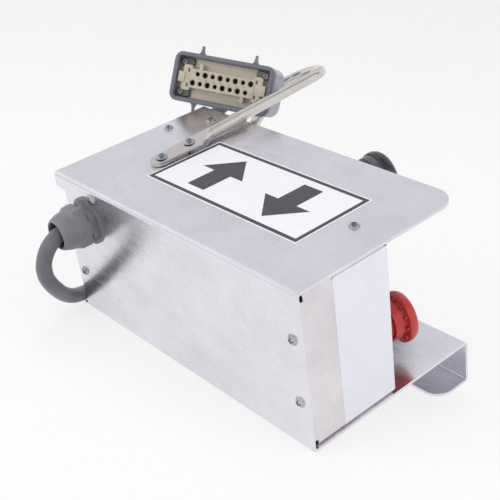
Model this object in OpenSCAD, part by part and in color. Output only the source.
// Control box of a scissor lift: bent sheet housing with rail hook, carry handle,
// cable with sixteen-pole plug, stop button, joystick, toggle switches and horn button.
// X runs along the rail, Y from the back wall to the control face, Z up.
// The origin is the centre of the rail channel under the box.

/* [Box] */
// Length of the box along the rail
box_len = 280; // [270:1:320]
// Height from the bottom plate to the roof
box_h = 126; // [122:1:150]
// Depth at the left end, roof included
left_depth = 153.3; // [148:0.1:160]
// Depth at the right end, roof included
right_depth = 83; // [78:0.1:90]
// Sheet thickness
sheet = 2.3; // [1.8:0.1:2.6]
// Outer radius of the bends
bend_r = 3.5; // [3.2:0.1:5]
// Corner radius of the roof
roof_corner_r = 19; // [8:0.5:24]

/* [Rail hook] */
// Distance from the back wall to the outer face of the hook
hook_reach = 158.7; // [154:0.1:175]
// Depth of the hook under the box
hook_drop = 34.5; // [28:0.5:60]
// Width of the hook's lower lip
hook_lip = 32.7; // [26:0.1:40]
// Corner radius of the lip
lip_corner_r = 14; // [6:0.5:18]

/* [Chassis] */
// How far the left end wall stands in from the roof's edge
left_inset = 5; // [3:0.5:8]
// How far the right end wall stands in from the roof's edge
right_inset = 1; // [0.4:0.1:3]
// How far the control face stands back from the roof's edge
panel_inset = 1.5; // [0.5:0.1:4]
// Width of the inward flanges
flange_w = 17; // [15:0.5:20]
// Free height between the chassis and the roof
lid_gap = 0.3; // [0.1:0.1:0.6]

/* [Screws] */
// Radius of the cover screws' shanks
screw_r = 2; // [1.5:0.1:2.4]
// Radius of the cover screws' heads
screw_head_r = 4.2; // [3.6:0.1:5]
// Height of the cover screws' heads
screw_head_h = 2.6; // [2:0.1:3.5]
// Radial clearance of the screw holes
hole_gap = 0.2; // [0.1:0.05:0.4]

/* [Handle] */
// Diameter of the handle's tube
tube_d = 9.7; // [8:0.1:11]
// Distance of the roof leg from the roof's left edge
leg_x = 60.7; // [56:0.1:70]
// Inner to outer spread of the handle's round end
loop_r = 19; // [16:0.5:20]
// Width of the flattened feet
foot_w = 15.6; // [13:0.1:18]
// Thickness of the flattened feet
foot_t = 2.8; // [2.2:0.1:3.6]

/* [Cable] */
// Diameter of the cable
cable_d = 12.6; // [10:0.1:13]
// Width across flats of the gland
gland_af = 31; // [28:0.5:34]
// Thread radius of the gland
gland_thread_r = 12.4; // [11:0.1:13]
// Distance of the gland from the roof's left edge
gland_x = 41; // [38:0.5:50]
// Height of the gland's axis over the bottom plate
gland_z = 96; // [90:0.5:98]
// Projection of the gland from the wall
gland_len = 30; // [26:0.5:36]

/* [Plug] */
// Length of the plug's mouth
plug_l = 94; // [90:0.5:96]
// Height of the plug's mouth
plug_w = 43; // [40:0.5:44]
// Depth of the plug's hood
plug_depth = 41.5; // [36:0.5:44]
// Length of the contact insert
insert_l = 84.5; // [80:0.5:86]
// Height of the contact insert
insert_w = 34.6; // [32:0.1:35]
// Spacing of the locking pegs
peg_span = 50.7; // [46:0.1:56]
// Radius of the locking pegs
peg_r = 2.3; // [1.8:0.1:2.8]

/* [Stop button] */
// Radius of the stop button's head
stop_r = 19.4; // [17:0.1:22]
// Height of the head's front over the control face
stop_top = 33; // [30:0.5:40]
// Distance of the stop button from the right corner
stop_s = 32; // [28:0.5:40]
// Height of the stop button over the bottom plate
stop_z = 37; // [34:0.5:44]
// Radius of the stop button's plunger
plunger_r = 8; // [6:0.1:9]
// Travel of the stop button
stop_travel = 5; // [3:0.5:6]

/* [Joystick] */
// Distance of the joystick from the right corner
stick_s = 142.7; // [138:0.1:150]
// Height of the joystick over the bottom plate
stick_z = 84; // [80:0.5:88]
// Radius of the grip's widest part
grip_r = 23.5; // [20:0.1:25]
// Height of the grip's end over the control face
grip_top = 93; // [88:0.5:100]
// Radius of the joystick's shaft
stick_r = 5; // [4:0.1:6]
// Tilt of the joystick each way, in degrees
stick_tilt = 18; // [10:1:20]
// Side of the joystick's square base plate
stick_base = 60; // [58:0.5:64]

/* [Switches] */
// Spacing of the toggle switches and the horn button
switch_pitch = 28; // [26:0.5:30]
// Radius of the toggle bushings
bushing_r = 6; // [5.5:0.1:6.5]
// Radius of the horn button
horn_r = 10; // [8:0.1:11]
// Travel of the horn button
horn_travel = 2.5; // [1.5:0.1:3]
// Radius of the indicator lamps' lenses
lamp_r = 4; // [3:0.1:5]

/* [Circuit board] */
// Length of the circuit board
board_l = 110; // [90:1:120]
// Width of the circuit board
board_w = 62; // [50:1:66]
// Height of the standoffs
standoff_h = 10; // [6:0.5:14]

/* [Hidden] */
$fn = 64;

// Overrun of cuts, running clearance of shafts, clearance of loose fits
over = 1;
run_gap = 0.05;
loose_gap = 0.3;

// Chassis in plan: right and left outer faces, slanted control face
right_x = box_len - right_inset;
left_x = left_inset;
panel_a = atan2(left_depth - right_depth, box_len);
panel_y = right_depth - panel_inset / cos(panel_a) + right_inset * tan(panel_a);
panel_l = (right_x - left_x) / cos(panel_a);
right_turn = 90 - panel_a;
left_turn = 90 + panel_a;
right_cut = bend_r * tan(right_turn / 2);
left_cut = bend_r * tan(left_turn / 2);
chassis_h = box_h - 2 * sheet - lid_gap;
relief = bend_r + sheet;
arc_steps = 8;

// Left edge of the back wall: tab height and notch
tab_h = 12;
notch_w = 8;
notch_low = 98;
notch_high = 113;

// Screws: places as [from the left edge, from the back wall] on the roof
nut_h = 2.8;
nut_wall = 1.2;
nut_r = screw_r + nut_wall;
roof_screws = [
    [left_inset + bend_r + nut_r, left_depth * 0.69],
    [left_inset + flange_w * 1.5, left_depth - flange_w],
    [box_len - flange_w * 1.73, right_depth - sheet]
];
back_screws = [
    [right_x - bend_r - nut_r - hole_gap, box_h * 0.71],
    [right_x - bend_r - nut_r - hole_gap, box_h * 0.317],
    [left_x + flange_w * 0.576, box_h * 0.316],
    [left_x + flange_w * 0.47, box_h * 0.706]
];
shank_l = 2 * sheet + nut_h + lid_gap + over;
slot_depth_share = 0.45;
slot_width_share = 0.28;
slot_length_share = 1.15;
earth_x = 52.2;
earth_z = 117.6;

// Handle: rise of the roof leg, foot on the end wall, route of the far leg
leg_rise_share = 0.072;
foot_start = 53.4;
foot_end = 100;
tube_start = 112;
leg_end = 229.1;
loop_tilt = 19.7;
knee_in = 23.6;
knee_x = -4;
knee_y = 212;
knee_z = 90;
low_y = 150;
low_z = 28;
foot2_y = 92;
foot2_len = 38;
knee_r = 9;
low_r = 14;
tube_sides = 20;
bend_step = 12;
hand_screw_r = 2.4;
hand_screw_pitch = 27.7;
hand_screw_edge = 10;
foot2_pitch = foot2_len - 2 * hand_screw_edge;

// Gland
gland_flange_h = 5;
gland_washer_r = 19.5;
gland_washer_t = 1.6;
gland_seal_face = 22;
gland_mouth_r = 10.25;
locknut_r = 16;
locknut_t = 5;
hex_turn = 38;
gland_wide_share = 1.13;
gland_end_share = 0.86;

// Route of the cable, from the gland to the plug
cable_route = [
    [41, -22, 96], [41, -30, 95], [40, -39, 88], [38, -44, 77], [35, -44, 65],
    [31, -40, 54], [24, -33, 42], [14, -24, 29], [5, -12, 17], [-5, 3, 8],
    [-13, 24, 1.5], [-18, 50, -6], [-21, 74, -12], [-25, 98, -17], [-31, 120, -15],
    [-39, 138, -6], [-48, 154, 10], [-56, 168, 30], [-62, 182, 50], [-65, 196, 68],
    [-64, 211, 82], [-60, 226, 90], [-52, 237, 95], [-41, 241, 99], [-30, 236, 104],
    [-22, 226, 110], [-16.5, 216.5, 115.8]
];
cable_sides = 10;

// Plug: turn and place of the mouth's centre
plug_turn = [62.6, 7.6, 24.5];
plug_x = 10.2;
plug_past = 13.7;
plug_above = 18.6;
plug_rim = 6;
plug_rim_r = 4;
plug_back_r = 10;
plug_wall = 3.4;
plug_floor = 9;
insert_t = 14;
insert_drop = 1.2;
pin_pitch = 7.2;
row_pitch = 8;
big_hole_r = 2.5;
small_hole_r = 2;
pin_count = 8;
pin_depth = 9;
pin_wall = 0.5;
peg_back = 9;
peg_out = 7.3;
peg_tip_r = 1.1;
plug_gland_l = 22;
plug_gland_r = 11;
plug_nut_af = 24.3;

// Stop button
stop_collar_r = 15;
stop_collar_h = 8.5;
stop_neck_r = 11;
stop_neck_l = 14;
stop_nose_r = 5;
stop_block_w = 30;
stop_block_h = 42;
stop_block_l = 34;
stop_plunger_back = 20;
stop_ribs = 24;
stop_seat = 13.7;
// Outline of the stop head, as shares of its radius and of its height
stop_head_shares = [
    [0.34, 0], [0.62, 0], [0.7, 0.16], [0.9, 0.4], [0.985, 0.5], [1, 0.6],
    [0.985, 0.74], [0.93, 0.86], [0.8, 0.95], [0.5, 0.99], [0, 1]
];

// Joystick
stick_pivot = -7;
stick_hole_r = 22;
stick_base_t = 3.2;
stick_house_r = 27;
stick_house_l = 46;
stick_bowl_r = 19;
stick_tail = 15;
stick_pin_r = 2.5;
stick_screw_r = 1.6;
stick_screw_head = 3.2;
boot_low_r = 20.5;
boot_top = 39;
boot_wall = 1.4;
grip_low = 44;
ring_low = 74;
ring_h = 5.5;
cap_low = ring_low + ring_h;
// Outline of the grip's skirt, as shares of its radius and of its height
grip_shares = [
    [0.42, 0], [0.5, 0.03], [0.53, 0.2], [0.57, 0.45], [0.68, 0.72], [0.86, 1]
];
// Outline of the grip's cap, as shares of its radius and of its height
cap_shares = [[0.9, 0], [0.97, 0.12], [1, 0.36], [0.97, 0.6], [0.88, 0.8], [0.7, 0.94], [0.5, 1]];
// Outline of the boot, as shares of its height and of its radius
boot_shares = [
    [1, 0], [1, 0.1], [0.86, 0.22], [0.93, 0.32], [0.74, 0.44], [0.8, 0.54],
    [0.6, 0.66], [0.66, 0.76], [0.42, 0.88], [0.4, 1]
];
rocker_r = 11;
rocker_w = 9;
rocker_pin_r = 1.5;
rocker_sink = 7;
rocker_dish_r = 14;
trigger_w = 9;
trigger_t = 4;
trigger_len = 26;
trigger_z = 70;
trigger_pin_r = 1.5;
trigger_off = 15.5;

// Switches, horn button and lamps
toggle_l = 26;
switch_s = stick_s + stick_base / 2 + toggle_l * 0.7;
switch_z = 86;
bushing_out = 9;
bushing_bore = 4.7;
bushing_pin_r = 1;
toggle_w = 14;
toggle_d = 22;
lever_l = 20;
lever_r = 1.9;
lever_tip_r = 3;
lever_pivot = 2;
toggle_nut_af = 14;
toggle_nut_h = 3;
horn_wall = 1.7;
horn_rim_r = 14.5;
horn_rim_h = 3.4;
horn_out = 6.5;
horn_back = 10;
horn_body_l = 24;
lamp_s = 82;
lamp_pitch = 20;
lamp_z = 96;
lamp_rim_r = 5.6;
lamp_rim_h = 2;
lamp_body_l = 12;

// Circuit board
board_x = 40;
board_y = 12;
board_t = 1.6;
board_edge = 5;
standoff_r = 3;
board_screw_r = 1.4;
board_head_r = 2.6;
terminal_l = 60;
terminal_w = 18;
terminal_h = 16;
terminal_poles = 8;
// Relays on the board: place and size as shares of the board's length and width
relay_shares = [[0.14, 0.2, 0.15, 0.26], [0.34, 0.2, 0.15, 0.26], [0.54, 0.2, 0.15, 0.26]];
relay_h = 14;
chip_h = 2.4;
can_r = 5;
can_h = 12;

// Places of the hook: the rail channel's centre is the origin
rail_y = hook_reach - (hook_lip + sheet) / 2;
rail_z = -(hook_drop - sheet) / 2;

// Moves a piece from the box's bottom left corner to the model's frame.
module placed() {
    translate([-box_len / 2, -rail_y, -rail_z]) children();
}

// Places a piece on the control face: X along it from the right corner, Y up, Z outwards.
module on_panel(s, z) {
    placed()
        translate([right_x - s * cos(panel_a), panel_y + s * sin(panel_a), z])
            rotate([90, 0, 180 - panel_a]) children();
}

// Places a piece on the back wall: X to the right, Y up, Z outwards.
module on_back(x, z) {
    placed() translate([x, 0, z]) rotate([90, 0, 0]) children();
}

// Places a piece on the left end wall: X towards the back wall, Y up, Z outwards.
module on_left(y, z) {
    placed() translate([left_x, y, z]) rotate([90, 0, -90]) children();
}

// Places a piece in the plug: X along the mouth, Y up, Z out of the mouth.
module in_plug() {
    placed()
        translate([plug_x, left_depth + plug_past, box_h + plug_above])
            rotate(plug_turn) children();
}

// A quarter of a bend in cross-section, outer radius r.
module quarter(r, t) {
    difference() {
        intersection() {
            circle(r);
            square(r);
        }
        circle(r - t);
    }
}

// A hexagonal prism, af across its flats.
module hexagon(af, h) {
    cylinder(r = af / 2 / cos(30), h = h, $fn = 6);
}

// A ring with its bore.
module ring(r_out, r_in, h) {
    difference() {
        cylinder(r = r_out, h = h);
        translate([0, 0, -over]) cylinder(r = r_in, h = h + 2 * over);
    }
}

// A pan head screw with a cross recess, head on the face z = 0, shank downwards.
module pan_screw(r, head_r, head_h, length) {
    dome_r = (head_r * head_r + head_h * head_h) / 2 / head_h;
    difference() {
        intersection() {
            cylinder(r = head_r, h = head_h);
            translate([0, 0, head_h - dome_r]) sphere(dome_r);
        }
        for (turn = [0, 90])
            rotate(turn)
                translate([
                    -head_r * slot_length_share / 2, -head_r * slot_width_share / 2,
                    head_h * (1 - slot_depth_share)
                ])
                    cube([head_r * slot_length_share, head_r * slot_width_share, head_h]);
    }
    translate([0, 0, -length]) cylinder(r = r, h = length);
}

// Plan of the roof, which stands out over the slanted control face, with one rounded corner.
module roof_plan() {
    corner = [box_len - roof_corner_r, left_depth - roof_corner_r];
    polygon(concat(
        [[0, bend_r], [box_len, bend_r]],
        arc(corner, roof_corner_r, 0, 90, 2 * arc_steps),
        [[0, left_depth]]
    ));
}

// Section of the bent sheet in Y and Z, without the roof.
module cover_section() {
    translate([0, bend_r]) square([sheet, box_h - 2 * bend_r]);
    translate([bend_r, bend_r]) rotate(180) quarter(bend_r, sheet);
    translate([bend_r, box_h - bend_r]) rotate(90) quarter(bend_r, sheet);
    translate([bend_r, 0]) square([hook_reach - 2 * bend_r, sheet]);
    translate([hook_reach - bend_r, sheet - bend_r]) quarter(bend_r, sheet);
    translate([hook_reach - sheet, bend_r - hook_drop])
        square([sheet, hook_drop + sheet - 2 * bend_r]);
    translate([hook_reach - bend_r, bend_r - hook_drop]) rotate(-90) quarter(bend_r, sheet);
    translate([hook_reach - hook_lip, -hook_drop]) square([hook_lip - bend_r, sheet]);
}

// Cuts one outer corner of the lip round.
module lip_corner() {
    difference() {
        translate([-over, -over, 0])
            cube([lip_corner_r + over, lip_corner_r + over, sheet + 2 * over]);
        translate([lip_corner_r, lip_corner_r, -over])
            cylinder(r = lip_corner_r, h = sheet + 4 * over);
    }
}

module outer_cover() {
    color([0.82, 0.82, 0.86])
    placed() difference() {
        union() {
            rotate([90, 0, 90]) linear_extrude(box_len) cover_section();
            translate([0, 0, box_h - sheet]) linear_extrude(sheet) roof_plan();
        }
        // Left edge of the back wall, under the tab
        translate([-over, -over, bend_r])
            cube([left_inset + over, bend_r + over, box_h - tab_h - bend_r]);
        translate([-over, -over, notch_low])
            cube([left_inset + notch_w + over, bend_r + over, notch_high - notch_low]);
        // Lip corners
        for (side = [0, 1])
            translate([side * box_len, hook_reach - hook_lip, -hook_drop - over])
                mirror([side, 0, 0]) lip_corner();
        // Holes in the roof
        for (p = roof_screws)
            translate([p[0], p[1], box_h - sheet - over])
                cylinder(r = screw_r + hole_gap, h = sheet + 2 * over);
        for (p = handle_places)
            translate([leg_x, p, box_h - sheet - over])
                cylinder(r = hand_screw_r + hole_gap, h = sheet + 2 * over);
        // Holes in the back wall
        for (p = concat(back_screws, [[earth_x, earth_z]]))
            translate([p[0], sheet + over, p[1]]) rotate([90, 0, 0])
                cylinder(r = screw_r + hole_gap, h = sheet + 2 * over);
        translate([gland_x, sheet + over, gland_z]) rotate([90, 0, 0])
            cylinder(r = gland_thread_r + hole_gap, h = sheet + 2 * over);
    }
}

// Section of a chassis wall with its top and bottom flanges.
module channel_section() {
    translate([0, bend_r]) square([sheet, chassis_h - 2 * bend_r]);
    for (top = [0, 1])
        translate([0, top * chassis_h]) mirror([0, top, 0]) {
            translate([bend_r, 0]) square([flange_w - bend_r, sheet]);
            translate([bend_r, bend_r]) rotate(180) quarter(bend_r, sheet);
        }
}

// A chassis wall from a corner, its inner side at the given angle.
module wall(place, inner, length) {
    translate(place) rotate([90, 0, inner]) linear_extrude(length) channel_section();
}

// Points of an arc in plan.
function arc(centre, r, from, to, steps = arc_steps) = [
    for (k = [0 : steps])
        let (turn = from + (to - from) * k / steps)
        centre + r * [cos(turn), sin(turn)]
];

// The chassis walls in plan, a depth d inside their outer faces.
left_y = panel_y + (right_x - left_x) * tan(panel_a);
back_y = sheet + bend_r;
function web_side(d) = concat(
    [[right_x - flange_w, sheet + d]],
    arc([right_x - bend_r, back_y], bend_r - d, 270, 360),
    arc([right_x - bend_r, panel_y - right_cut], bend_r - d, 0, right_turn),
    arc([left_x + bend_r, left_y - left_cut], bend_r - d, right_turn, 180),
    arc([left_x + bend_r, back_y], bend_r - d, 180, 270),
    [[left_x + flange_w, sheet + d]]
);

module chassis() {
    inner = web_side(sheet);
    strip = flange_w * sin(panel_a);
    color([0.78, 0.78, 0.82])
    difference() {
        placed() {
            translate([0, 0, sheet + relief]) linear_extrude(chassis_h - 2 * relief)
                polygon(concat(web_side(0), [for (k = [len(inner) - 1 : -1 : 0]) inner[k]]));
            wall([right_x, back_y, sheet], 180, panel_y - right_cut - back_y);
            translate([right_x, panel_y, sheet]) rotate([90, 0, 270 - panel_a])
                translate([0, 0, flange_w])
                    linear_extrude(panel_l - 2 * flange_w - strip) channel_section();
            wall([left_x, left_y - left_cut - flange_w, sheet], 0,
                left_y - left_cut - flange_w - back_y);
        }
        panel_holes();
        // Screw holes in the top flanges and the back flanges
        placed() {
            for (p = roof_screws)
                translate([p[0], p[1], box_h - 2 * sheet - 2 * over])
                    cylinder(r = screw_r + hole_gap, h = sheet + 2 * over);
            for (p = back_screws)
                translate([p[0], 2 * sheet + over, p[1]]) rotate([90, 0, 0])
                    cylinder(r = screw_r + hole_gap, h = sheet + 2 * over);
        }
        for (p = foot2_places)
            on_left(p, low_z) translate([0, 0, -sheet - over])
                cylinder(r = hand_screw_r + hole_gap, h = sheet + 2 * over);
    }
}

// Holes through the control face.
module panel_holes() {
    cut = sheet + 2 * over;
    on_panel(stop_s, stop_z) translate([0, 0, over - cut])
        cylinder(r = stop_neck_r + hole_gap, h = cut);
    on_panel(stick_s, stick_z) translate([0, 0, over - cut]) {
        cylinder(r = stick_hole_r, h = cut);
        for (p = base_corners)
            translate(p) cylinder(r = stick_screw_r + hole_gap, h = cut);
    }
    for (k = [0, 1])
        on_panel(switch_s + k * switch_pitch, switch_z) translate([0, 0, over - cut])
            cylinder(r = bushing_r + hole_gap, h = cut);
    on_panel(switch_s + 2 * switch_pitch, switch_z) translate([0, 0, over - cut])
        cylinder(r = horn_r + horn_wall + hole_gap, h = cut);
    for (k = [0, 1])
        on_panel(lamp_s - k * lamp_pitch, lamp_z) translate([0, 0, over - cut])
            cylinder(r = lamp_r + hole_gap, h = cut);
}

module cover_screws() {
    color([0.75, 0.75, 0.72]) {
        for (p = roof_screws)
            placed() translate([p[0], p[1], box_h])
                pan_screw(screw_r, screw_head_r, screw_head_h, shank_l);
        for (p = back_screws)
            on_back(p[0], p[1]) pan_screw(screw_r, screw_head_r, screw_head_h, shank_l);
    }
}

module clinch_nuts() {
    color([0.7, 0.7, 0.66]) {
        for (p = roof_screws)
            placed() translate([p[0], p[1], box_h - 2 * sheet - lid_gap - nut_h])
                ring(nut_r, screw_r + run_gap, nut_h);
        for (p = back_screws)
            on_back(p[0], p[1]) translate([0, 0, -2 * sheet - nut_h])
                ring(nut_r, screw_r + run_gap, nut_h);
        on_back(earth_x, earth_z) translate([0, 0, -sheet - nut_h])
            ring(nut_r, screw_r + run_gap, nut_h);
    }
}

module earth_screw() {
    color([0.75, 0.75, 0.72])
        on_back(earth_x, earth_z)
            pan_screw(screw_r, screw_head_r, screw_head_h, sheet + nut_h + over);
}

// Handle: unit vectors of the roof leg and of the round end's spread
leg_dir = [0, 1, leg_rise_share] / norm([0, 1, leg_rise_share]);
loop_dir = [-cos(loop_tilt), 0, -sin(loop_tilt)];
foot_gap = leg_rise_share * foot_w / 4;
foot_mid = foot_t / 2 + foot_gap;
function leg_point(y) = [leg_x, y, box_h + foot_mid + leg_rise_share * (y - foot_start)];
turn_1 = leg_point(leg_end) + leg_dir * loop_r;
turn_2 = turn_1 + loop_dir * 2 * loop_r;
turn_3 = turn_2 - leg_dir * knee_in;
foot2_dir = [leg_rise_share, -1, 0] / norm([leg_rise_share, -1, 0]);
foot2_end = [left_x - foot_mid, foot2_y, low_z];
foot2_top = foot2_end - foot2_dir * foot2_len;
turn_5 = foot2_end - foot2_dir * (low_y - foot2_y);
hand_route = [leg_point(tube_start), turn_1, turn_2, turn_3, [knee_x, knee_y, knee_z], turn_5,
    foot2_top - foot2_dir * (tube_start - foot_end)];
hand_radii = [0, loop_r, loop_r - sheet, knee_r, low_r, low_r, 0];
handle_places = [foot_start + hand_screw_edge, foot_start + hand_screw_edge + hand_screw_pitch];
foot2_places = [foot2_y + hand_screw_edge, foot2_y + hand_screw_edge + foot2_pitch];

function unit(v) = v / norm(v);
function turn_at(k) = acos(unit(hand_route[k] - hand_route[k - 1])
    * unit(hand_route[k + 1] - hand_route[k]));
function cut_at(k) = hand_radii[k] == 0 ? 0 : hand_radii[k] * tan(turn_at(k) / 2);

// Points along one bend of the handle.
function bend_points(k) =
    let (dir = unit(hand_route[k] - hand_route[k - 1]),
        next = unit(hand_route[k + 1] - hand_route[k]),
        inward = unit(next - dir * (next * dir)),
        centre = hand_route[k] - dir * cut_at(k) + inward * hand_radii[k],
        steps = ceil(turn_at(k) / bend_step))
    [
        for (j = [0 : steps])
            let (t = turn_at(k) * j / steps)
            centre + hand_radii[k] * (sin(t) * dir - cos(t) * inward)
    ];
hand_points = concat(
    [hand_route[0]],
    [for (k = [1 : len(hand_route) - 2]) each bend_points(k)],
    [hand_route[len(hand_route) - 1]]
);

// Direction of a curve at one of its points
function tangent(p, k, first, last) =
    k == 0 ? first : k == len(p) - 1 ? last : unit(unit(p[k + 1] - p[k]) + unit(p[k] - p[k - 1]));
// Side vectors carried along a curve without twist
function side_vectors(p, first, last, k = 0, side = [1, 0, 0], out = []) =
    k == len(p) ? out :
    let (t = tangent(p, k, first, last), s = unit(side - t * (side * t)))
    side_vectors(p, first, last, k + 1, s, concat(out, [[s, cross(t, s)]]));

// A round bar of diameter d along the points, square to the first and last direction.
module swept(p, d, sides, first, last) {
    frames = side_vectors(p, first, last);
    n = len(p);
    rings = [
        for (k = [0 : n - 1]) for (j = [0 : sides - 1])
            p[k] + (frames[k][0] * cos(360 * j / sides) + frames[k][1] * sin(360 * j / sides)) * d / 2
    ];
    faces = concat(
        [[for (j = [0 : sides - 1]) j]],
        [
            for (k = [0 : n - 2]) for (j = [0 : sides - 1]) for (half = [0, 1])
                let (a = k * sides + j, b = k * sides + (j + 1) % sides)
                half == 0 ? [a, a + sides, b] : [b, a + sides, b + sides]
        ],
        [[for (j = [sides - 1 : -1 : 0]) (n - 1) * sides + j]]
    );
    polyhedron(rings, faces);
}

// A flattened foot: strip with a round end and two holes, Z along the tube.
module foot(length, blend, pitch) {
    difference() {
        union() {
            translate([-foot_w / 2, -foot_t / 2, foot_w / 2])
                cube([foot_w, foot_t, length - foot_w / 2]);
            translate([0, foot_t / 2, foot_w / 2]) rotate([90, 0, 0])
                cylinder(d = foot_w, h = foot_t);
            hull() {
                translate([-foot_w / 2, -foot_t / 2, length - over])
                    cube([foot_w, foot_t, over]);
                translate([0, 0, length + blend]) cylinder(d = tube_d, h = over, $fn = 32);
            }
        }
        for (k = [0, 1])
            translate([0, foot_t, hand_screw_edge + k * pitch]) rotate([90, 0, 0])
                cylinder(r = hand_screw_r + 2 * hole_gap, h = 2 * foot_t);
    }
}

module handle() {
    blend = tube_start - foot_end;
    color([0.72, 0.71, 0.7])
    placed() {
        swept(hand_points, tube_d, tube_sides, leg_dir, foot2_dir);
        translate(leg_point(foot_start)) rotate([-90 + atan(leg_rise_share), 0, 0])
            foot(foot_end - foot_start, blend, hand_screw_pitch);
        translate(foot2_end) rotate([0, 0, atan(leg_rise_share)])
            rotate([-90, 0, 0]) rotate([0, 0, 90]) foot(foot2_len, blend, foot2_pitch);
    }
}

module handle_screws() {
    head_r = hand_screw_r * 2;
    length = foot_t + sheet + nut_h + 2 * over;
    // The feet rise from their ends, so a head rests where the foot is highest under it
    rise = foot_t + foot_gap + leg_rise_share * head_r + run_gap / 2;
    color([0.75, 0.75, 0.72]) {
        for (p = handle_places)
            placed() translate([leg_x, p, box_h + rise + leg_rise_share * (p - foot_start)])
                pan_screw(hand_screw_r, head_r, screw_head_h, length);
        for (p = foot2_places)
            on_left(p, low_z) translate([0, 0, rise + leg_rise_share * (p - foot2_y)])
                pan_screw(hand_screw_r, head_r, screw_head_h, length);
    }
}

module handle_nuts() {
    nut_out = hand_screw_r * 1.8;
    color([0.7, 0.7, 0.66]) {
        for (p = handle_places)
            placed() translate([leg_x, p, box_h - sheet - nut_h])
                ring(nut_out, hand_screw_r + hole_gap, nut_h);
        for (p = foot2_places)
            on_left(p, low_z) translate([0, 0, -sheet - nut_h])
                ring(nut_out, hand_screw_r + hole_gap, nut_h);
    }
}

module gland_body() {
    inner_r = cable_d / 2 + hole_gap * 3;
    color([0.42, 0.42, 0.46])
    on_back(gland_x, gland_z) difference() {
        union() {
            translate([0, 0, gland_washer_t]) rotate(hex_turn) hexagon(gland_af, gland_flange_h);
            translate([0, 0, -sheet - locknut_t - over])
                cylinder(r = gland_thread_r, h = sheet + locknut_t + over + gland_seal_face / 2);
        }
        translate([0, 0, -sheet - locknut_t - 2 * over])
            cylinder(r = inner_r, h = gland_len);
    }
}

module gland_nut() {
    start = gland_washer_t + gland_flange_h + loose_gap / 2;
    half = (gland_len - start) / 2;
    wide = gland_af / 2 * gland_wide_share;
    color([0.36, 0.36, 0.4])
    on_back(gland_x, gland_z) difference() {
        intersection() {
            translate([0, 0, start]) rotate(hex_turn) hexagon(gland_af, 2 * half);
            union() {
                translate([0, 0, start]) cylinder(r = wide, h = half);
                translate([0, 0, start + half])
                    cylinder(r1 = wide, r2 = gland_af / 2 * gland_end_share, h = half);
            }
        }
        translate([0, 0, start - over]) cylinder(r = gland_thread_r + run_gap, h = gland_seal_face / 2);
        translate([0, 0, start]) cylinder(r = gland_mouth_r + run_gap, h = gland_len);
    }
}

module gland_seal() {
    from = gland_seal_face / 2 + run_gap;
    color([0.2, 0.2, 0.22])
    on_back(gland_x, gland_z) translate([0, 0, from])
        cylinder(r = gland_mouth_r, h = gland_seal_face - from);
}

module gland_washer() {
    color([0.25, 0.25, 0.27])
    on_back(gland_x, gland_z) ring(gland_washer_r, gland_thread_r + hole_gap, gland_washer_t);
}

module gland_locknut() {
    color([0.42, 0.42, 0.46])
    on_back(gland_x, gland_z) translate([0, 0, -sheet - locknut_t]) difference() {
        hexagon(gland_af, locknut_t);
        translate([0, 0, -over]) cylinder(r = gland_thread_r + run_gap, h = locknut_t + 2 * over);
    }
}

// Smooth curve through the cable's route
function spline_point(p, k, t) =
    let (a = p[max(k - 1, 0)], b = p[k], c = p[k + 1], d = p[min(k + 2, len(p) - 1)])
    (b * 2 + (c - a) * t + (a * 2 - b * 5 + c * 4 - d) * pow(t, 2)
        + (b * 3 - a - c * 3 + d) * pow(t, 3)) / 2;
route_steps = 1;
cable_points = [
    for (k = [0 : len(cable_route) - 2]) for (j = [0 : route_steps])
        spline_point(cable_route, k, j / (route_steps + 1)),
    cable_route[len(cable_route) - 1]
];
plug_axis = [
    cos(plug_turn[2]) * sin(plug_turn[1]) * cos(plug_turn[0]) + sin(plug_turn[2]) * sin(plug_turn[0]),
    sin(plug_turn[2]) * sin(plug_turn[1]) * cos(plug_turn[0]) - cos(plug_turn[2]) * sin(plug_turn[0]),
    cos(plug_turn[1]) * cos(plug_turn[0])
];

module cable() {
    color([0.45, 0.45, 0.48])
    placed() swept(cable_points, cable_d, cable_sides, [0, -1, 0], plug_axis);
}

// A rectangle with round corners.
module round_rect(l, w, r) {
    square([l - 2 * r, w], center = true);
    square([l, w - 2 * r], center = true);
    for (sx = [-1, 1]) for (sy = [-1, 1])
        translate([sx * (l / 2 - r), sy * (w / 2 - r)]) circle(r);
}

module plug_hood() {
    color([0.62, 0.62, 0.68])
    in_plug() difference() {
        union() {
            translate([0, 0, -plug_rim]) linear_extrude(plug_rim)
                round_rect(plug_l, plug_w, plug_rim_r);
            hull() {
                for (sx = [-1, 1]) for (sy = [-1, 1])
                    translate([
                        sx * (plug_l / 2 - plug_back_r - 2 * over),
                        sy * (plug_w / 2 - plug_back_r - over / 2), plug_back_r - plug_depth
                    ])
                        sphere(plug_back_r, $fn = 24);
                translate([0, 0, -plug_rim - over])
                    linear_extrude(over)
                        round_rect(plug_l - 2 * over, plug_w - over, plug_rim_r, $fn = 24);
            }
        }
        translate([0, 0, plug_floor - plug_depth]) linear_extrude(plug_depth)
            round_rect(insert_l + loose_gap, insert_w + loose_gap, plug_rim_r / 2);
        // Bores for the pegs
        for (sx = [-1, 1]) for (sy = [-1, 1])
            translate([sx * peg_span / 2, sy * insert_w / 2, -peg_back]) rotate([-90 * sy, 0, 0])
                cylinder(r = peg_r + run_gap, h = plug_w);
        // Bore for the rear gland
        translate([0, 0, -plug_depth - over])
            cylinder(r = plug_gland_r - plug_wall + run_gap, h = plug_floor + 2 * over);
    }
}

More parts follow.
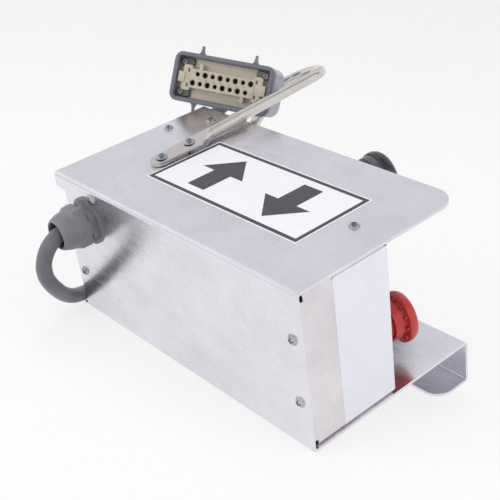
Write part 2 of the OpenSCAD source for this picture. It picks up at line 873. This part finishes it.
// Places of the sixteen contacts, the second row shifted by half a pitch
contact_places = [
    for (row = [0, 1]) for (k = [0 : pin_count - 1])
        [(k - (pin_count - 1) / 2 + (row - 0.5) / 2) * pin_pitch, (row - 0.5) * row_pitch,
            (k + row) % 2 == 0 ? big_hole_r : small_hole_r]
];
insert_screw_places = [
    for (sx = [-1, 1]) for (sy = [-1, 1])
        [sx * (insert_l / 2 - 1.5 * screw_r - over / 2), sy * (insert_w / 2 - 2 * screw_r)]
];

module plug_insert() {
    color([0.83, 0.8, 0.7])
    in_plug() translate([0, 0, -insert_drop]) difference() {
        union() {
            translate([0, 0, -insert_t]) linear_extrude(insert_t)
                round_rect(insert_l, insert_w, plug_rim_r / 2);
            // Raised field around the contacts and the coding nib
            linear_extrude(insert_drop)
                round_rect((pin_count + 1.6) * pin_pitch, 2.6 * row_pitch, plug_rim_r / 2);
            translate([insert_l / 2 - 4 * screw_r, -insert_w / 4, 0]) cylinder(r = screw_r, h = insert_drop);
        }
        for (p = contact_places)
            translate([p[0], p[1], -pin_depth])
                cylinder(r = p[2], h = pin_depth + 2 * insert_drop, $fn = 32);
        for (p = insert_screw_places)
            translate([p[0], p[1], -insert_t - over])
                cylinder(r = stick_screw_r + hole_gap, h = insert_t + 2 * over);
    }
}

module plug_contacts() {
    color([0.75, 0.66, 0.42])
    in_plug() translate([0, 0, -insert_drop]) for (p = contact_places)
        translate([p[0], p[1], -pin_depth]) difference() {
            cylinder(r = p[2] - run_gap, h = pin_depth - insert_drop, $fn = 32);
            translate([0, 0, over]) cylinder(r = p[2] - pin_wall, h = pin_depth, $fn = 32);
        }
}

module plug_pegs() {
    color([0.78, 0.78, 0.78])
    in_plug() for (sx = [-1, 1]) for (sy = [-1, 1])
        translate([sx * peg_span / 2, sy * (insert_w / 2 + loose_gap), -peg_back])
            rotate([-90 * sy, 0, 0]) {
                cylinder(r = peg_r, h = (plug_w - insert_w) / 2 + peg_out / 2);
                cylinder(r = peg_tip_r, h = (plug_w - insert_w) / 2 + peg_out);
            }
}

module plug_screws() {
    color([0.75, 0.75, 0.72])
    in_plug() for (p = insert_screw_places)
        translate([p[0], p[1], -insert_drop])
            pan_screw(stick_screw_r, stick_screw_head * 0.9, insert_drop * 1.3, insert_t);
}

module plug_gland() {
    nut_l = plug_gland_l * 0.36;
    neck_r = plug_gland_r - plug_wall;
    color([0.36, 0.36, 0.4])
    in_plug() {
        translate([0, 0, -plug_depth]) cylinder(r = neck_r, h = plug_floor);
        translate([0, 0, -plug_depth - nut_l]) hexagon(plug_nut_af, nut_l);
        translate([0, 0, -plug_depth - plug_gland_l])
            cylinder(r1 = neck_r, r2 = plug_gland_r, h = plug_gland_l - nut_l);
    }
}

module stop_collar() {
    color([0.75, 0.12, 0.1])
    on_panel(stop_s, stop_z) difference() {
        union() {
            cylinder(r1 = stop_collar_r, r2 = stop_neck_r + sheet / 2, h = stop_collar_h);
            translate([0, 0, -stop_neck_l]) cylinder(r = stop_neck_r, h = stop_neck_l);
        }
        translate([0, 0, -stop_neck_l - over])
            cylinder(r = plunger_r + run_gap, h = stop_neck_l + stop_collar_h + 2 * over);
    }
}

module stop_plunger() {
    color([0.7, 0.1, 0.1])
    on_panel(stop_s, stop_z) {
        translate([0, 0, -stop_plunger_back])
            cylinder(r = plunger_r, h = stop_plunger_back + stop_seat - loose_gap);
        translate([0, 0, stop_seat - loose_gap - over])
            cylinder(r = stop_nose_r, h = (stop_top - stop_seat) / 2 + over);
    }
}

module stop_head() {
    height = stop_top - stop_seat;
    bore = (stop_top - stop_seat) / 2 + loose_gap;
    color([0.8, 0.1, 0.1])
    on_panel(stop_s, stop_z) translate([0, 0, stop_seat]) difference() {
        rotate_extrude() polygon(concat(
            [[0, 0]], [for (p = stop_head_shares) [p[0] * stop_r, p[1] * height]]));
        translate([0, 0, -over]) cylinder(r = stop_nose_r + run_gap, h = bore + over);
        for (k = [0 : stop_ribs - 1])
            rotate(k * 360 / stop_ribs) translate([stop_r * 0.99, 0, height * 0.22])
                cylinder(r = stop_r * 0.035, h = height * 0.3, $fn = 16);
    }
}

module stop_locknut() {
    color([0.3, 0.3, 0.32])
    on_panel(stop_s, stop_z) translate([0, 0, -sheet - locknut_t])
        ring(stop_collar_r, stop_neck_r + run_gap, locknut_t);
}

module stop_contact_block() {
    color([0.2, 0.2, 0.22])
    on_panel(stop_s, stop_z) difference() {
        union() {
            translate([-stop_block_w / 2, -stop_block_h / 2 + 2 * over, -stop_neck_l - stop_block_l])
                cube([stop_block_w, stop_block_h, stop_block_l]);
            // Terminal screws
            for (sx = [-1, 1]) for (sy = [-1, 1])
                translate([
                    sx * stop_block_w / 4, sy * stop_block_h / 3 + 2 * over,
                    -stop_neck_l - stop_block_l - over
                ])
                    cylinder(r = screw_r, h = 2 * over);
        }
        translate([0, 0, -stop_plunger_back - stop_travel - over])
            cylinder(r = plunger_r + run_gap, h = stop_plunger_back);
    }
}

base_corners = [
    for (sx = [-1, 1]) for (sy = [-1, 1])
        [sx * (stick_base / 2 - 2.5 * stick_screw_r), sy * (stick_base / 2 - 2.5 * stick_screw_r)]
];

module joystick_base() {
    color([0.12, 0.12, 0.13])
    on_panel(stick_s, stick_z) difference() {
        union() {
            linear_extrude(stick_base_t) round_rect(stick_base, stick_base, 3 * stick_screw_r);
            translate([0, 0, -sheet]) cylinder(r = stick_hole_r - hole_gap, h = sheet);
        }
        translate([0, 0, -sheet - over])
            cylinder(r = stick_bowl_r, h = stick_base_t + sheet + 2 * over);
        for (p = base_corners)
            translate([p[0], p[1], -over])
                cylinder(r = stick_screw_r + hole_gap, h = stick_base_t + 2 * over);
    }
}

module joystick_screws() {
    color([0.75, 0.75, 0.72])
    on_panel(stick_s, stick_z) for (p = base_corners)
        translate([p[0], p[1], stick_base_t])
            pan_screw(stick_screw_r, stick_screw_head, screw_head_h / 2, stick_base_t + 2 * sheet);
}

module joystick_housing() {
    color([0.15, 0.15, 0.17])
    on_panel(stick_s, stick_z) translate([0, 0, -sheet - stick_house_l]) difference() {
        union() {
            cylinder(r = stick_house_r, h = stick_house_l);
            // Mounting ears behind the panel
            translate([-stick_base / 2, -stick_base / 2, stick_house_l - 2 * sheet])
                cube([stick_base, stick_base, 2 * sheet]);
        }
        translate([0, 0, stick_house_l - stick_bowl_r - stick_tail])
            cylinder(r = stick_bowl_r, h = stick_bowl_r + stick_tail + over);
        for (p = base_corners)
            translate([p[0], p[1], stick_house_l - 3 * sheet])
                cylinder(r = stick_screw_r + run_gap, h = 4 * sheet);
        translate([-stick_house_r - over, 0, stick_house_l + sheet + stick_pivot]) rotate([0, 90, 0])
            cylinder(r = stick_pin_r, h = 2 * stick_house_r + 2 * over);
    }
}

module joystick_pin() {
    color([0.7, 0.7, 0.7])
    on_panel(stick_s, stick_z) translate([-stick_house_r, 0, stick_pivot]) rotate([0, 90, 0])
        cylinder(r = stick_pin_r, h = 2 * stick_house_r);
}

module joystick_boot() {
    height = boot_top - stick_base_t;
    outer = [for (p = boot_shares) [p[0] * boot_low_r, p[1] * height]];
    inner = [for (k = [len(outer) - 1 : -1 : 0])
        [max(outer[k][0] - boot_wall, stick_r + loose_gap), outer[k][1]]];
    color([0.08, 0.08, 0.09])
    on_panel(stick_s, stick_z) translate([0, 0, stick_base_t])
        rotate_extrude() polygon(concat(outer, inner));
}

module joystick_shaft() {
    hub_r = stick_r + sheet;
    color([0.65, 0.65, 0.67])
    on_panel(stick_s, stick_z) difference() {
        union() {
            translate([0, 0, stick_pivot - stick_tail])
                cylinder(r = stick_r, h = cap_low - stick_pivot + stick_tail);
            translate([-hub_r, 0, stick_pivot]) rotate([0, 90, 0])
                cylinder(r = hub_r, h = 2 * hub_r);
        }
        translate([-hub_r - over, 0, stick_pivot]) rotate([0, 90, 0])
            cylinder(r = stick_pin_r + run_gap, h = 2 * hub_r + 2 * over);
    }
}

module joystick_grip() {
    height = ring_low - grip_low;
    color([0.13, 0.13, 0.15])
    on_panel(stick_s, stick_z) difference() {
        translate([0, 0, grip_low]) rotate_extrude() polygon(concat(
            [[0, 0]], [for (p = grip_shares) [p[0] * grip_r, p[1] * height]], [[0, height]]));
        translate([0, 0, grip_low - over]) cylinder(r = stick_r, h = height + 2 * over);
        // Pocket for the trigger
        translate([-trigger_w / 2 - loose_gap, -grip_r, trigger_z - 1.8 * trigger_t])
            cube([trigger_w + 2 * loose_gap, grip_r - trigger_off + trigger_t * 1.4, 2.8 * trigger_t]);
        translate([-grip_r, -trigger_off, trigger_z]) rotate([0, 90, 0])
            cylinder(r = trigger_pin_r, h = 2 * grip_r);
    }
}

module joystick_ring() {
    low_r = grip_shares[len(grip_shares) - 1][0] * grip_r;
    high_r = cap_shares[0][0] * grip_r;
    color([0.35, 0.34, 0.38])
    on_panel(stick_s, stick_z) translate([0, 0, ring_low]) difference() {
        cylinder(r1 = low_r + loose_gap, r2 = high_r + loose_gap, h = ring_h);
        translate([0, 0, -over]) cylinder(r = stick_r, h = ring_h + 2 * over);
    }
}

// Height of the rocker's pivot over the control face
rocker_z = grip_top - rocker_sink;

module joystick_cap() {
    height = grip_top - cap_low;
    color([0.1, 0.1, 0.12])
    on_panel(stick_s, stick_z) difference() {
        translate([0, 0, cap_low]) rotate_extrude() polygon(concat(
            [[0, 0]], [for (p = cap_shares) [p[0] * grip_r, p[1] * height]], [[0, height]]));
        translate([0, (rocker_w + 2 * loose_gap) / 2, rocker_z]) rotate([90, 0, 0])
            cylinder(r = rocker_r + loose_gap, h = rocker_w + 2 * loose_gap);
        translate([0, rocker_w, rocker_z]) rotate([90, 0, 0])
            cylinder(r = rocker_pin_r, h = 2 * rocker_w);
    }
}

module thumb_rocker() {
    color([0.3, 0.3, 0.33])
    on_panel(stick_s, stick_z) translate([0, rocker_w / 2, rocker_z]) rotate([90, 0, 0]) difference() {
        intersection() {
            cylinder(r = rocker_r, h = rocker_w);
            translate([-rocker_r, 2 * rocker_pin_r - rocker_sink, -over])
                cube([2 * rocker_r, 2 * rocker_r, rocker_w + 2 * over]);
        }
        translate([0, 0, -over]) cylinder(r = rocker_pin_r + run_gap, h = rocker_w + 2 * over);
        translate([0, rocker_dish_r + rocker_sink, -over])
            cylinder(r = rocker_dish_r, h = rocker_w + 2 * over);
    }
}

module rocker_pin() {
    color([0.7, 0.7, 0.7])
    on_panel(stick_s, stick_z) translate([0, rocker_w, rocker_z]) rotate([90, 0, 0])
        cylinder(r = rocker_pin_r, h = 2 * rocker_w);
}

module enable_trigger() {
    color([0.55, 0.12, 0.1])
    on_panel(stick_s, stick_z) translate([-trigger_w / 2, -trigger_off, trigger_z]) difference() {
        union() {
            rotate([0, 90, 0]) cylinder(r = trigger_t * 0.7, h = trigger_w);
            translate([0, -trigger_t * 0.7, -trigger_len]) cube([trigger_w, trigger_t * 0.7, trigger_len]);
            translate([0, -trigger_t * 0.7, -trigger_len]) rotate([0, 90, 0])
                cylinder(r = trigger_t * 0.45, h = trigger_w);
        }
        translate([-over, 0, 0]) rotate([0, 90, 0])
            cylinder(r = trigger_pin_r + run_gap, h = trigger_w + 2 * over);
    }
}

module trigger_pin() {
    length = trigger_w + 4 * trigger_pin_r;
    color([0.7, 0.7, 0.7])
    on_panel(stick_s, stick_z) translate([-length / 2, -trigger_off, trigger_z]) rotate([0, 90, 0])
        cylinder(r = trigger_pin_r, h = length);
}

// A toggle switch without its lever: body, threaded bushing and cross pin.
module toggle_body() {
    difference() {
        union() {
            translate([-toggle_w / 2, -toggle_l / 2, -sheet - toggle_d])
                cube([toggle_w, toggle_l, toggle_d]);
            translate([0, 0, -sheet]) cylinder(r = bushing_r, h = sheet + bushing_out);
        }
        translate([0, 0, lever_pivot - 2 * bushing_pin_r - lever_tip_r])
            cylinder(r = bushing_bore, h = bushing_out + 2 * lever_tip_r);
        translate([-bushing_r - over, 0, lever_pivot]) rotate([0, 90, 0])
            cylinder(r = bushing_pin_r, h = 2 * bushing_r + 2 * over);
    }
    translate([-bushing_r + over / 4, 0, lever_pivot]) rotate([0, 90, 0])
        cylinder(r = bushing_pin_r, h = 2 * bushing_r - over / 2);
    // Solder tags
    for (k = [-1, 0, 1])
        translate([-toggle_w / 6, k * toggle_l / 3 - over / 2, -sheet - toggle_d - 3 * over])
            cube([toggle_w / 3, over, 3 * over]);
}

module toggle_nut() {
    difference() {
        hexagon(toggle_nut_af, toggle_nut_h);
        translate([0, 0, -over]) cylinder(r = bushing_r + run_gap, h = toggle_nut_h + 2 * over);
    }
}

module toggle_lever() {
    translate([0, 0, lever_pivot]) difference() {
        union() {
            sphere(2 * bushing_pin_r + lever_r / 2);
            cylinder(r1 = lever_r, r2 = lever_tip_r, h = lever_l);
            translate([0, 0, lever_l]) sphere(lever_tip_r);
        }
        translate([-bushing_r, 0, 0]) rotate([0, 90, 0])
            cylinder(r = bushing_pin_r + run_gap, h = 2 * bushing_r);
    }
}

module function_switch() {
    color([0.2, 0.2, 0.22]) on_panel(switch_s, switch_z) toggle_body();
}
module function_nut() {
    color([0.75, 0.75, 0.75]) on_panel(switch_s, switch_z) toggle_nut();
}
module function_lever() {
    color([0.8, 0.8, 0.8]) on_panel(switch_s, switch_z) toggle_lever();
}
module speed_switch() {
    color([0.2, 0.2, 0.22]) on_panel(switch_s + switch_pitch, switch_z) toggle_body();
}
module speed_nut() {
    color([0.75, 0.75, 0.75]) on_panel(switch_s + switch_pitch, switch_z) toggle_nut();
}
module speed_lever() {
    color([0.8, 0.8, 0.8]) on_panel(switch_s + switch_pitch, switch_z) toggle_lever();
}

module horn_bezel() {
    color([0.6, 0.6, 0.62])
    on_panel(switch_s + 2 * switch_pitch, switch_z) difference() {
        union() {
            cylinder(r1 = horn_rim_r, r2 = horn_rim_r - over, h = horn_rim_h);
            translate([0, 0, -horn_back - horn_travel - over])
                cylinder(r = horn_r + horn_wall, h = horn_back + horn_travel + over);
        }
        translate([0, 0, -horn_back - horn_travel - 2 * over])
            cylinder(r = horn_r + run_gap, h = horn_back + horn_travel + horn_rim_h + 3 * over);
    }
}

module horn_button() {
    color([0.1, 0.35, 0.7])
    on_panel(switch_s + 2 * switch_pitch, switch_z) difference() {
        translate([0, 0, -horn_back]) cylinder(r = horn_r, h = horn_back + horn_out);
        translate([0, 0, horn_out + 2 * horn_r - over]) sphere(2 * horn_r);
    }
}

module horn_switch() {
    color([0.2, 0.2, 0.22])
    on_panel(switch_s + 2 * switch_pitch, switch_z)
        translate([0, 0, -horn_back - horn_travel - over - horn_body_l])
            cylinder(r = horn_r + horn_wall, h = horn_body_l);
}

module indicator_lamps() {
    color([0.15, 0.6, 0.2])
    for (k = [0, 1]) on_panel(lamp_s - k * lamp_pitch, lamp_z) {
        cylinder(r = lamp_rim_r, h = lamp_rim_h);
        translate([0, 0, -sheet - lamp_body_l]) cylinder(r = lamp_r, h = lamp_body_l + sheet);
        translate([0, 0, lamp_rim_h - over]) intersection() {
            sphere(lamp_r);
            cylinder(r = lamp_r, h = lamp_r);
        }
    }
}

board_corners = [
    for (sx = [0, 1]) for (sy = [0, 1])
        [board_x + board_edge + sx * (board_l - 2 * board_edge),
            board_y + board_edge + sy * (board_w - 2 * board_edge)]
];

module circuit_board() {
    top = sheet + standoff_h + board_t;
    color([0.1, 0.4, 0.25])
    placed() {
        difference() {
            translate([board_x, board_y, top - board_t]) cube([board_l, board_w, board_t]);
            for (p = board_corners)
                translate([p[0], p[1], top - board_t - over])
                    cylinder(r = board_screw_r + hole_gap, h = board_t + 2 * over);
        }
        for (p = relay_shares)
            translate([board_x + p[0] * board_l, board_y + p[1] * board_w, top])
                cube([p[2] * board_l, p[3] * board_w, relay_h]);
        translate([board_x + board_l * 0.3, board_y + board_w * 0.62, top])
            cube([board_l * 0.2, board_w * 0.2, chip_h]);
        for (k = [0, 1])
            translate([board_x + board_l * (0.6 + k * 0.14), board_y + board_w * 0.72, top])
                cylinder(r = can_r, h = can_h);
    }
}

module board_standoffs() {
    color([0.8, 0.7, 0.4])
    placed() for (p = board_corners)
        translate([p[0], p[1], sheet]) ring(standoff_r, board_screw_r + run_gap, standoff_h);
}

module board_screws() {
    color([0.75, 0.75, 0.72])
    placed() for (p = board_corners)
        translate([p[0], p[1], sheet + standoff_h + board_t])
            pan_screw(board_screw_r, board_head_r, screw_head_h / 2, standoff_h / 2 + board_t);
}

module terminal_block() {
    pole = terminal_l / terminal_poles;
    color([0.3, 0.5, 0.3])
    placed() translate([board_x + board_l + 2 * board_edge, board_y, sheet]) difference() {
        cube([terminal_l, terminal_w, terminal_h]);
        for (k = [0 : terminal_poles - 1])
            translate([(k + 0.5) * pole, terminal_w * 0.7, terminal_h / 2])
                cylinder(r = pole * 0.3, h = terminal_h);
    }
}

outer_cover();
chassis();
cover_screws();
clinch_nuts();
earth_screw();
handle();
handle_screws();
handle_nuts();
gland_body();
gland_nut();
gland_seal();
gland_washer();
gland_locknut();
cable();
plug_hood();
plug_insert();
plug_contacts();
plug_pegs();
plug_screws();
plug_gland();
stop_collar();
stop_plunger();
stop_head();
stop_locknut();
stop_contact_block();
joystick_base();
joystick_screws();
joystick_housing();
joystick_pin();
joystick_boot();
joystick_shaft();
joystick_grip();
joystick_ring();
joystick_cap();
thumb_rocker();
rocker_pin();
enable_trigger();
trigger_pin();
function_switch();
function_nut();
function_lever();
speed_switch();
speed_nut();
speed_lever();
horn_bezel();
horn_button();
horn_switch();
indicator_lamps();
circuit_board();
board_standoffs();
board_screws();
terminal_block();
